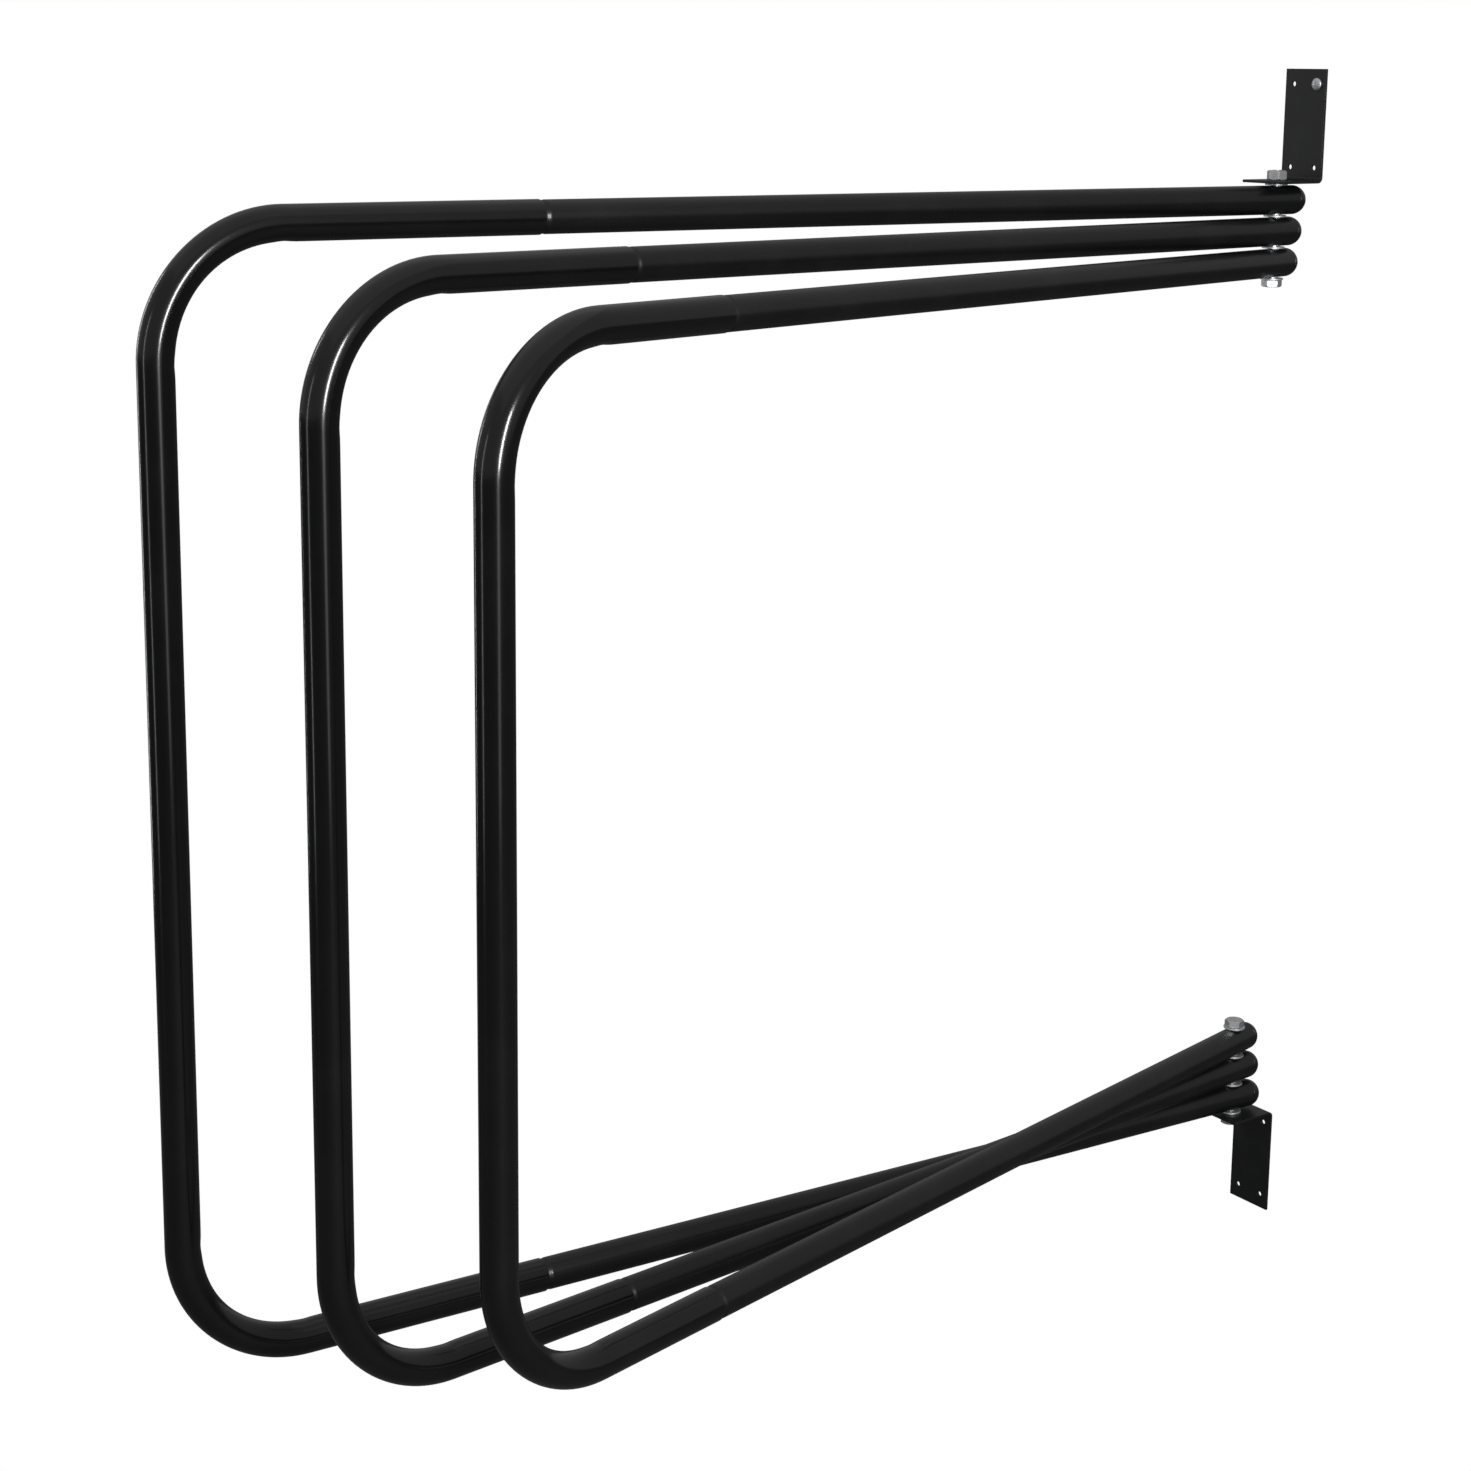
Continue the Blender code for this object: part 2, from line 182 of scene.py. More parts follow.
class RackFinishSettings(bpy.types.PropertyGroup):
    """Colours and gloss of the finishes."""
    coat: colour("Coat", "Powder coat on the tubes", (0.0045, 0.0046, 0.0048))
    bracket: colour("Bracket coat", "Powder coat on the brackets", (0.0075, 0.0080, 0.0080))
    dust: colour("Dust", "Dust and specks on the coat", (0.16, 0.16, 0.17))
    plastic: colour("Plastic", "Moulded end plugs", (0.0048, 0.0048, 0.0050))
    zinc_bright: colour("Bright zinc", "Clean zinc plate", (0.80, 0.81, 0.82))
    zinc_dull: colour("Dull zinc", "Cloudy patches of the plate", (0.55, 0.57, 0.60))
    bent_roughness: share("Bent tube roughness", "Gloss coat of the bent tubes", 0.20)
    straight_roughness: share("Straight tube roughness", "Satin coat of the straight tubes", 0.36)
    bracket_roughness: share("Bracket roughness", "Coat of the brackets", 0.42)
    plastic_roughness: share("Plastic roughness", "Moulded end plugs", 0.28)
    zinc_roughness: share("Zinc roughness", "Zinc-plated fasteners", 0.40)


class RackStudioSettings(bpy.types.PropertyGroup):
    """Camera, lights and floor."""
    camera_place: FloatVectorProperty(name="Camera", description="Where the camera stands", size=3,
                                      default=(2.0095, -2.1633, 0.0574), subtype="XYZ", unit="LENGTH")
    camera_heading: angle("Heading", "Camera's turn from +Y towards -X", 54.717)
    camera_tilt: angle("Tilt", "How far the camera looks down", 11.157)
    camera_roll: angle("Roll", "Camera's roll about its own axis", 0.656)
    lens: FloatProperty(name="Lens", description="Focal length", default=64.98, min=1.0,
                        subtype="DISTANCE_CAMERA")
    shift: FloatProperty(name="Shift", description="Vertical shift of the frame", default=-0.10)
    floor_drop: length("Floor", "Floor below the rack's lowest point", 0.42)
    floor_size: length("Floor size", "Side of the square floor", 60.0)
    floor: colour("Floor", "Pale studio floor", (0.10, 0.10, 0.10))
    backdrop: colour("Backdrop", "White studio backdrop", (1.0, 1.0, 1.0))
    surround: colour("Surround", "Dim room seen in reflections", (0.30, 0.30, 0.30))
    key_power: power("Key", "Soft box right of the camera, above the rack's middle", 85.0)
    low_power: power("Low panel", "Wide weak panel under the key", 4.5)
    strip_power: power("Strip", "Thin tall strip left of the camera", 5.0)
    rim_power: power("Rim", "Strip behind the rack on the left", 8.0)
    top_power: power("Top", "Wide soft light overhead", 8.0)


# ---- Reading the part -----------------------------------------------------------------------
def node_body(node):
    return frame["nodes"][node]["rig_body"]


def arm_matrix(arm):
    """From an arm's own frame, +X out along the arm and Z from its middle, to the part's."""
    joint = next(joint for joint in frame["joints"] if joint["child"] == f"{arm}_arm")
    swing = sum(joint["range_deg"]) / 2
    return Matrix.Translation(joint["pos_m"]) @ Matrix.Rotation(math.radians(-90 - swing), 4, "Z")


def box_in(node, matrix):
    """Lowest and highest corner of a solid, measured along a turned frame's axes."""
    back = matrix.inverted()
    points = [back @ vert.co for vert in frame["nodes"][node].data.vertices]
    return tuple(Vector(pick(point[axis] for point in points) for axis in range(3))
                 for pick in (min, max))


def arm_sizes(arm):
    """(place, half height, reach, mouth, bent radius, straight radius, overhang, spigot end)."""
    place = arm_matrix(arm)
    tube_low, tube_high = box_in(f"{arm}_arm_upper_tube", place)
    bent_low, bent_high = box_in(f"{arm}_arm_bent_tube", place)
    half_height = (tube_low.z + tube_high.z) / 2
    bent_radius = bent_high.z - half_height
    straight_radius = (tube_high.z - tube_low.z) / 2
    return (place, half_height, bent_high.x - bent_radius, bent_low.x, bent_radius,
            straight_radius, -tube_low.x, tube_high.x)


# ---- Shared modelling steps -----------------------------------------------------------------
ALONG_X = Matrix.Rotation(math.pi / 2, 4, "Y")
SMOOTH_BELOW = math.radians(32)


def rounded(corner, before, after, radius, steps=4):
    """Points of a rounding that replaces one corner of a profile."""
    corner, before, after = Vector(corner), Vector(before), Vector(after)
    first = corner + (before - corner).normalized() * radius
    last = corner + (after - corner).normalized() * radius
    return [tuple(first.lerp(corner, t).lerp(corner.lerp(last, t), t))
            for t in (step / steps for step in range(steps + 1))]


def turned(profile, sides, matrix=Matrix()):
    """Spins (radius, height) points about Z. A profile that starts and ends on the axis is
    solid; any other is closed back to its first point."""
    bm = bmesh.new()
    verts = [bm.verts.new((radius, 0, height)) for radius, height in profile]
    for first, second in zip(verts, verts[1:]):
        bm.edges.new((first, second))
    if profile[0][0] > 0:
        bm.edges.new((verts[-1], verts[0]))
    bmesh.ops.spin(bm, geom=bm.verts[:] + bm.edges[:], cent=(0, 0, 0), axis=(0, 0, 1),
                   angle=2 * math.pi, steps=sides, use_merge=True)
    bmesh.ops.remove_doubles(bm, verts=bm.verts, dist=1e-6)
    bm.transform(matrix)
    return bm


def prism(outline, low, high, matrix=Matrix()):
    """Extrudes an outline of (x, y) points from height low to high."""
    bm = bmesh.new()
    face = bm.faces.new([bm.verts.new((x, y, low)) for x, y in outline])
    extruded = bmesh.ops.extrude_face_region(bm, geom=[face])["geom"]
    top = [item for item in extruded if isinstance(item, bmesh.types.BMVert)]
    bmesh.ops.translate(bm, verts=top, vec=(0, 0, high - low))
    bm.transform(matrix)
    return bm


def cylinder(radius, low, high, sides, matrix=Matrix()):
    return turned([(0, low), (radius, low), (radius, high), (0, high)], sides, matrix)


def to_mesh(bm, name):
    bmesh.ops.recalc_face_normals(bm, faces=bm.faces)
    mesh = bpy.data.meshes.new(name)
    bm.to_mesh(mesh)
    bm.free()
    return mesh


def carve(bm, cutters, operation="DIFFERENCE"):
    """Applies Boolean cutters to a bmesh and returns the result as a new bmesh."""
    body = bpy.data.objects.new("carved", to_mesh(bm, "carved"))
    bpy.context.scene.collection.objects.link(body)
    helpers = []
    for cutter in cutters:
        helper = bpy.data.objects.new("cutter", to_mesh(cutter, "cutter"))
        bpy.context.scene.collection.objects.link(helper)
        helpers.append(helper)
        modifier = body.modifiers.new("cut", "BOOLEAN")
        modifier.object, modifier.operation, modifier.solver = helper, operation, "EXACT"
    bpy.context.view_layer.update()
    result = bmesh.new()
    result.from_mesh(body.evaluated_get(bpy.context.evaluated_depsgraph_get()).data)
    for item in [body] + helpers:
        mesh = item.data
        bpy.data.objects.remove(item)
        bpy.data.meshes.remove(mesh)
    bmesh.ops.remove_doubles(result, verts=result.verts, dist=1e-6)
    return result


def round_edges(bm, radius, above, segments):
    """Rounds every edge sharper than an angle in degrees."""
    limit = math.radians(above)
    edges = [edge for edge in bm.edges
             if edge.is_manifold and edge.calc_face_angle(0) > limit]
    bmesh.ops.bevel(bm, geom=edges, offset=radius, offset_type="OFFSET", affect="EDGES",
                    segments=segments, profile=0.5, material=-1, clamp_overlap=True)


def stand_for(node, bm, finish):
    """Turns a bmesh into the finished piece that stands for one solid of the part."""
    if not bm.faces:
        raise RuntimeError(f"{node} has no faces")
    mesh = to_mesh(bm, f"finished_{node}")
    mesh.shade_smooth()
    mesh.set_sharp_from_angle(angle=SMOOTH_BELOW)
    mesh.materials.append(finish)
    piece = bpy.data.objects.new(f"finished_{node}", mesh)
    bpy.context.scene.collection.objects.link(piece)
    # Wide faces keep their own normals, so only the rounding beside them shades round.
    piece.modifiers.new("Face normals", "WEIGHTED_NORMAL").keep_sharp = True
    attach(piece, node_body(node))
    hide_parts(node)
    return piece


# ---- Shader helpers -------------------------------------------------------------------------
def add_node(tree, kind, inputs=None, **settings):
    """Adds a node; an input is a value or another node's output socket."""
    made = tree.nodes.new(kind)
    for key, value in settings.items():
        setattr(made, key, value)
    for key, value in (inputs or {}).items():
        if isinstance(value, bpy.types.NodeSocket):
            tree.links.new(value, made.inputs[key])
        else:
            made.inputs[key].default_value = value
    return made


def maths(tree, operation, *values, clamp=False):
    return add_node(tree, "ShaderNodeMath", dict(enumerate(values)), operation=operation,
                    use_clamp=clamp).outputs[0]


def mix_colours(tree, factor, first, second):
    return add_node(tree, "ShaderNodeMix", {0: factor, 6: first, 7: second},
                    data_type="RGBA").outputs[2]


def ranged(tree, value, low, high, to_low=0.0, to_high=1.0):
    return add_node(tree, "ShaderNodeMapRange",
                    {0: value, 1: low, 2: high, 3: to_low, 4: to_high}).outputs[0]


def noise(tree, vector, scale, detail, roughness=0.5):
    return add_node(tree, "ShaderNodeTexNoise",
                    {"Vector": vector, "Scale": scale, "Detail": detail,
                     "Roughness": roughness}).outputs[0]


def start_group(name, inputs, outputs):
    """An empty shader node group with named sockets, and its two end nodes."""
    tree = bpy.data.node_groups.new(name, "ShaderNodeTree")
    for direction, sockets in (("INPUT", inputs), ("OUTPUT", outputs)):
        for socket_name, kind, default in sockets:
            socket = tree.interface.new_socket(socket_name, in_out=direction,
                                               socket_type=f"NodeSocket{kind}")
            if default is not None:
                socket.default_value = default
    return tree, tree.nodes.new("NodeGroupInput").outputs, tree.nodes.new("NodeGroupOutput").inputs


SURFACE_OUTPUTS = (("Colour", "Color", None), ("Roughness", "Float", None),
                   ("Height", "Float", None))


def coat_surface_group():
    """Powder coat: orange peel, uneven gloss, and a few specks of dust."""
    name = "Powder coat surface"
    if name in bpy.data.node_groups:
        return bpy.data.node_groups[name]
    tree, given, result = start_group(name, (
        ("Coordinates", "Vector", None), ("Colour", "Color", (0.01, 0.01, 0.01, 1)),
        ("Dust Colour", "Color", (0.15, 0.15, 0.15, 1)), ("Dust", "Float", 0.5),
        ("Roughness", "Float", 0.2), ("Roughness Spread", "Float", 0.06),
        ("Peel Scale", "Float", 420.0), ("Patch Scale", "Float", 14.0)), SURFACE_OUTPUTS)
    where = given["Coordinates"]
    peel = noise(tree, where, given["Peel Scale"], 2.0, 0.45)
    patches = noise(tree, where, given["Patch Scale"], 4.0, 0.6)
    streaks = noise(tree, where, maths(tree, "MULTIPLY", given["Patch Scale"], 7.0), 2.0)
    cells = add_node(tree, "ShaderNodeTexVoronoi",
                     {"Vector": where, "Scale": 260.0, "Randomness": 1.0}).outputs
    dots = ranged(tree, cells["Distance"], 0.10, 0.045)
    chosen = maths(tree, "GREATER_THAN",
                   add_node(tree, "ShaderNodeSeparateColor", {0: cells["Color"]}).outputs[0], 0.86)
    specks = maths(tree, "MULTIPLY", maths(tree, "MULTIPLY", dots, chosen), given["Dust"])
    film = maths(tree, "MULTIPLY", ranged(tree, patches, 0.48, 0.75, 0.0, 0.05), given["Dust"])
    cover = maths(tree, "ADD", maths(tree, "MULTIPLY", specks, 0.5), film, clamp=True)
    tree.links.new(mix_colours(tree, cover, given["Colour"], given["Dust Colour"]),
                   result["Colour"])
    unevenness = maths(tree, "ADD", maths(tree, "SUBTRACT", patches, 0.5),
                       maths(tree, "MULTIPLY", maths(tree, "SUBTRACT", streaks, 0.5), 0.4))
    rough = maths(tree, "MULTIPLY_ADD", unevenness, given["Roughness Spread"], given["Roughness"])
    tree.links.new(maths(tree, "MULTIPLY_ADD", specks, 0.25, rough, clamp=True),
                   result["Roughness"])
    tree.links.new(maths(tree, "MULTIPLY_ADD", specks, 0.6, peel), result["Height"])
    return tree


def zinc_surface_group():
    """Zinc plate: cloudy patches, fine crystal grain and small scuffs."""
    name = "Zinc plate surface"
    if name in bpy.data.node_groups:
        return bpy.data.node_groups[name]
    tree, given, result = start_group(name, (
        ("Coordinates", "Vector", None), ("Bright", "Color", (0.8, 0.8, 0.8, 1)),
        ("Dull", "Color", (0.5, 0.5, 0.5, 1)), ("Roughness", "Float", 0.25),
        ("Cloud Scale", "Float", 190.0), ("Grain Scale", "Float", 1500.0)), SURFACE_OUTPUTS)
    where = given["Coordinates"]
    clouds = noise(tree, where, given["Cloud Scale"], 4.0, 0.6)
    grain = add_node(tree, "ShaderNodeTexVoronoi",
                     {"Vector": where, "Scale": given["Grain Scale"], "Randomness": 1.0}).outputs
    stretched = add_node(tree, "ShaderNodeMapping", {0: where, 3: (260.0, 2600.0, 900.0)})
    scuffs = ranged(tree, noise(tree, stretched.outputs[0], 1.0, 3.0), 0.58, 0.72)
    dullness = maths(tree, "ADD", ranged(tree, clouds, 0.38, 0.68),
                     maths(tree, "MULTIPLY", grain["Distance"], 0.25), clamp=True)
    tree.links.new(mix_colours(tree, dullness, given["Bright"], given["Dull"]), result["Colour"])
    rough = maths(tree, "MULTIPLY_ADD", dullness, 0.14, given["Roughness"])
    tree.links.new(maths(tree, "MULTIPLY_ADD", scuffs, 0.12, rough, clamp=True),
                   result["Roughness"])
    tree.links.new(maths(tree, "MULTIPLY_ADD", scuffs, -0.5, grain["Distance"]),
                   result["Height"])
    return tree


def surfaced(name, group, values, bump_strength, bump_distance, **constants):
    """A Principled material whose colour, roughness and bump come from one surface group."""
    if name in bpy.data.materials:
        return bpy.data.materials[name]
    material = bpy.data.materials.new(name)
    material.use_nodes = True
    tree = material.node_tree
    shader = tree.nodes["Principled BSDF"]
    where = add_node(tree, "ShaderNodeTexCoord").outputs["Object"]
    surface = add_node(tree, "ShaderNodeGroup", node_tree=group)
    tree.links.new(where, surface.inputs["Coordinates"])
    for key, value in values.items():
        surface.inputs[key].default_value = value
    tree.links.new(surface.outputs["Colour"], shader.inputs["Base Color"])
    tree.links.new(surface.outputs["Roughness"], shader.inputs["Roughness"])
    bump = add_node(tree, "ShaderNodeBump", {"Height": surface.outputs["Height"],
                                             "Strength": bump_strength, "Distance": bump_distance})
    tree.links.new(bump.outputs[0], shader.inputs["Normal"])
    for key, value in constants.items():
        shader.inputs[key.replace("_", " ")].default_value = value
    return material


def opaque(rgb):
    return (*rgb, 1.0)


def coat_values(finish, base, roughness, **others):
    return {"Colour": opaque(base), "Dust Colour": opaque(finish.dust), "Roughness": roughness,
            **others}


def gloss_coat(finish):
    return surfaced("Gloss black powder coat", coat_surface_group(),
                    coat_values(finish, finish.coat, finish.bent_roughness, Dust=0.25),
                    0.015, 0.0004, Specular_IOR_Level=0.3,
                    Coat_Weight=0.4, Coat_Roughness=0.12)


def satin_coat(finish):
    return surfaced("Satin black powder coat", coat_surface_group(),
                    coat_values(finish, finish.coat, finish.straight_roughness, Dust=0.4),
                    0.09, 0.0004, Specular_IOR_Level=0.4,
                    Coat_Weight=0.15, Coat_Roughness=0.15)


def bracket_coat(finish):
    values = coat_values(finish, finish.bracket, finish.bracket_roughness, Dust=0.6)
    return surfaced("Charcoal bracket coat", coat_surface_group(),
                    {**values, "Peel Scale": 650.0, "Patch Scale": 30.0}, 0.08, 0.0004,
                    Specular_IOR_Level=0.3, Coat_Weight=0.10, Coat_Roughness=0.2)


def moulded_plastic(finish):
    values = coat_values(finish, finish.plastic, finish.plastic_roughness, Dust=0.3)
    return surfaced("Moulded black plastic", coat_surface_group(),
                    {**values, "Peel Scale": 1400.0, "Patch Scale": 45.0}, 0.12, 0.0002)


def zinc_plate(finish, name="Zinc plate", roughness_shift=0.0):
    values = {"Bright": opaque(finish.zinc_bright), "Dull": opaque(finish.zinc_dull),
              "Roughness": finish.zinc_roughness + roughness_shift}
    return surfaced(name, zinc_surface_group(), values, 0.03, 0.0002, Metallic=1.0)


# ---- Bent tubes -----------------------------------------------------------------------------
def extrude_along(bm, section, vector, steps):
    """Extrudes a ring of edges in equal steps and returns the last ring."""
    for _ in range(steps):
        made = bmesh.ops.extrude_edge_only(bm, edges=section)["geom"]
        verts = [item for item in made if isinstance(item, bmesh.types.BMVert)]
        section = [item for item in made if isinstance(item, bmesh.types.BMEdge)]
        bmesh.ops.translate(bm, verts=verts, vec=Vector(vector) / steps)
    return section


def half_sleeve(radius, mouth, half_height, reach, tubes):
    """One wall surface of an arm's upper half, from its mouth to the middle of the upright."""
    bend_x, bend_z = reach - tubes.bend_radius, half_height - tubes.bend_radius
    near = 3 * tubes.pinch_length
    bm = bmesh.new()
    bmesh.ops.create_circle(bm, segments=tubes.sides, radius=radius,
                            matrix=Matrix.Translation((mouth, 0, half_height)) @ ALONG_X)
    ring = extrude_along(bm, bm.edges[:], (bend_x - near - mouth, 0, 0), 4)
    ring = extrude_along(bm, ring, (near, 0, 0), 8)
    spun = bmesh.ops.spin(bm, geom=ring, cent=(bend_x, 0, bend_z), axis=(0, 1, 0),
                          angle=math.pi / 2, steps=tubes.bend_steps)["geom_last"]
    ring = [item for item in spun if isinstance(item, bmesh.types.BMEdge)]
    ring = extrude_along(bm, ring, (0, 0, -near), 8)
    extrude_along(bm, ring, (0, 0, near - bend_z), 4)
    return bm


def shape_bend(bm, half_height, reach, bent_radius, tubes):
    """Flattens the section across the bend and pinches its inside where the bend runs out."""
    bend_x, bend_z = reach - tubes.bend_radius, half_height - tubes.bend_radius
    for vert in bm.verts:
        across, up = vert.co.x - bend_x, vert.co.z - bend_z
        if across > 0 and up > 0:
            turn = math.atan2(up, across)
            from_centre = math.hypot(across, up)
            squeeze = tubes.bend_flattening * math.sin(2 * turn) ** 2
            radius = tubes.bend_radius + (from_centre - tubes.bend_radius) * (1 - squeeze)
            vert.co.x = bend_x + radius * math.cos(turn)
            vert.co.z = bend_z + radius * math.sin(turn)
            vert.co.y *= 1 + squeeze / 2
            past = tubes.bend_radius * min(turn, math.pi / 2 - turn)
            inner = (tubes.bend_radius - from_centre) / bent_radius
            inwards = Vector((math.cos(turn), 0, math.sin(turn)))
        elif across <= 0:
            past, inner, inwards = across, (half_height - vert.co.z) / bent_radius, Vector((0, 0, 1))
        else:
            past, inner, inwards = up, (reach - vert.co.x) / bent_radius, Vector((1, 0, 0))
        pinch = math.exp(-(past / tubes.pinch_length) ** 2) * max(inner, 0) ** 3
        vert.co += inwards * tubes.pinch_depth * pinch


def bent_tube(arm, tubes):
    """C-shaped tube with rounded cut ends, as one closed wall."""
    place, half_height, reach, mouth, bent_radius, _, _, _ = arm_sizes(arm)
    bm = half_sleeve(bent_radius, mouth, half_height, reach, tubes)
    shape_bend(bm, half_height, reach, bent_radius, tubes)
    bmesh.ops.mirror(bm, geom=bm.verts[:] + bm.edges[:] + bm.faces[:], axis="Z", merge_dist=1e-5)
    bmesh.ops.remove_doubles(bm, verts=bm.verts, dist=1e-6)
    bmesh.ops.recalc_face_normals(bm, faces=bm.faces)
    # An open shell has no inside yet, so its facing is checked at the outermost face.
    far = max(bm.faces, key=lambda face: face.calc_center_median().x)
    if far.normal.x < 0:
        bmesh.ops.reverse_faces(bm, faces=bm.faces)
    bmesh.ops.solidify(bm, geom=bm.faces[:], thickness=tubes.wall)
    mouths = [edge for edge in bm.edges
              if all(abs(vert.co.x - mouth) < 1e-5 for vert in edge.verts)
              and edge.is_manifold and edge.calc_face_angle(0) > 1]
    bmesh.ops.bevel(bm, geom=mouths, offset=tubes.mouth_round, offset_type="OFFSET",
                    affect="EDGES", segments=4, profile=0.5, material=-1, clamp_overlap=True)
    bm.transform(place)
    return bm


# ---- Straight tubes and plugs ---------------------------------------------------------------
def straight_tube(arm, side, tubes):
    """Tube from past the pivot to a necked spigot, drilled for the pivot bolt."""
    place, half_height, _, mouth, bent_radius, radius, overhang, spigot_end = arm_sizes(arm)
    spigot = bent_radius - tubes.wall - tubes.fit
    neck_start, neck_end = mouth - tubes.shoulder, mouth - tubes.fit
    steps = 10
    neck = [(radius + (spigot - radius) * (1 - math.cos(math.pi * step / steps)) / 2,
             neck_start + (neck_end - neck_start) * step / steps) for step in range(steps + 1)]
    drilled = 2.5 * tubes.hole_radius
    start = (radius, -overhang)
    outside = rounded(start, (radius - tubes.wall, -overhang), (radius, 0), 0.4 * MM, 3)
    outside += [(radius, -drilled), (radius, drilled), (radius, mouth / 2)] + neck
    outside += [(spigot, spigot_end)]
    inside = [(spigot - tubes.wall, spigot_end)]
    inside += [(across - tubes.wall, along) for across, along in reversed(neck)]
    inside += [(radius - tubes.wall, mouth / 2), (radius - tubes.wall, drilled),
               (radius - tubes.wall, -drilled), (radius - tubes.wall, -overhang)]
    bm = turned(outside + inside, tubes.sides, ALONG_X)
    bm = carve(bm, [cylinder(tubes.hole_radius, -2 * radius, 2 * radius, tubes.sides)])
    lift = half_height if side == "upper" else -half_height
    bm.transform(place @ Matrix.Translation((0, 0, lift)))
    return bm


def end_plug(arm, side, tubes):
    """Domed plug with a rounded rim, a shallow gate dimple and a hollow stem."""
    place, half_height, _, _, _, radius, overhang, _ = arm_sizes(arm)
    face = -overhang - tubes.fit
    stem = radius - tubes.wall - tubes.fit
    steps, dimple, dimple_depth = 18, 0.0022, 0.0003
    dome = []
    for step in range(steps + 1):
        turn = step * math.pi / 2 / steps
        across = radius * math.sin(turn)
        sink = dimple_depth * max(0.0, 1 - (across / dimple) ** 2) ** 2
        dome.append((across, face - radius * math.cos(turn) + sink))
    rim = rounded((radius, face), dome[-2], (stem, face), tubes.plug_lip)
    stem_end = -overhang + tubes.plug_stem
    inner = stem - tubes.plug_stem_wall
    lead = rounded((stem, stem_end), (stem, face), (inner, stem_end), 0.6 * MM, 2)
    profile = dome[:-1] + rim + [(stem, face)] + lead + [(inner, stem_end), (inner, face), (0, face)]
    bm = turned(profile, tubes.sides, ALONG_X)
    lift = half_height if side == "upper" else -half_height
    bm.transform(place @ Matrix.Translation((0, 0, lift)))
    return bm


# ---- Brackets -------------------------------------------------------------------------------
def bracket_outline(depth, height, hardware):
    """L section in (Y, Z): plate along the wall at Y = 0, leg along -Y at Z = 0."""
    inside, outside = hardware.bend_inside, hardware.bend_inside + hardware.steel
    turns = [math.radians(-90 + 90 * step / 10) for step in range(11)]

    def arc(radius, angles):
        return [(-outside + radius * math.cos(turn), outside + radius * math.sin(turn))
                for turn in angles]

    return ([(-depth, 0)] + arc(outside, turns) + [(0, height), (-hardware.steel, height)]
            + arc(inside, reversed(turns)) + [(-depth, hardware.steel)])


def bracket(side, hardware, pivot_radius):
    """Bent plate with four screw holes, a pivot hole and softened coated edges."""
    low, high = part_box(f"{side}_wall_bracket")
    pivot = Vector(frame["joints"][0]["pos_m"])
    depth, height, half = high.y - low.y, high.z - low.z, (high.x - low.x) / 2
    to_yz = Matrix(((0, 0, 1, 0), (1, 0, 0, 0), (0, 1, 0, 0), (0, 0, 0, 1)))
    bm = prism(bracket_outline(depth, height, hardware), -half, half, to_yz)
    through_plate = Matrix.Rotation(math.pi / 2, 4, "X")
    cutters = [cylinder(pivot_radius, -2 * hardware.steel, 3 * hardware.steel, 48,
                        Matrix.Translation((0, pivot.y, 0)))]
    for z in (hardware.hole_from_leg, height - hardware.hole_from_end):
        for way in (-1, 1):
            spot = Matrix.Translation((way * (half - hardware.hole_from_side), 0, z))
            cutters.append(cylinder(hardware.hole / 2, -hardware.steel, 2 * hardware.steel, 40,
                                    spot @ through_plate))
    bm = carve(bm, cutters)
    round_edges(bm, hardware.edge, 50, 3)
    if side == "upper":
        bm.transform(Matrix.Translation((0, 0, low.z)))
    else:
        bm.transform(Matrix.Translation((0, 0, high.z)) @ Matrix.Rotation(math.pi, 4, "Y"))
    return bm


# ---- Fasteners ------------------------------------------------------------------------------
def hex_place(node):
    """(centre on the axis, corner radius, a corner's turn from +X) of a packed head or nut."""
    low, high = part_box(node)
    centre = Vector(((low.x + high.x) / 2, (low.y + high.y) / 2, 0))
    corner = max((vert.co.to_2d() - centre.to_2d() for vert in frame["nodes"][node].data.vertices),
                 key=lambda across: across.length)
    return centre, corner.length, math.atan2(corner.y, corner.x)


def hex_body(corner, turn, height, chamfers, face, sides):
    """Hexagon from height 0 up, its corners turned off at 30 degrees on the ends named, 0 or 1.
    Face is the height of the round washer face at its foot, or 0."""
    outline = [(corner * math.cos(turn + math.pi / 3 * step),
                corner * math.sin(turn + math.pi / 3 * step)) for step in range(6)]
    crown_share, clearance = 0.95, 1.05
    crown = corner * math.cos(math.pi / 6) * crown_share
    wide = corner * clearance
    drop = (wide - crown) * math.tan(math.radians(30))
    profile = [(0, 0), (crown, 0)]
    profile += [(crown, face)] if face else []
    profile += [(wide, face + drop)] if 0 in chamfers else [(wide, face)]
    profile += [(wide, height - drop), (crown, height)] if 1 in chamfers else [(wide, height)]
    profile += [(0, height)]
    body = carve(prism(outline, 0, height), [turned(profile, sides)], "INTERSECT")
    round_edges(body, 0.25 * MM, 25, 2)
    return body


def threaded(radius, depth, pitch, low, high):
    """Profile points of a rolled thread between two heights, rising."""
    half_flat = 0.06        # of the pitch, at the root and at the crest
    points, z = [], low
    while z + pitch <= high:
        points += [(radius - depth, z + pitch * half_flat), (radius, z + pitch * (0.5 - half_flat)),
                   (radius, z + pitch * (0.5 + half_flat)),
                   (radius - depth, z + pitch * (1 - half_flat))]
        z += pitch
    return points


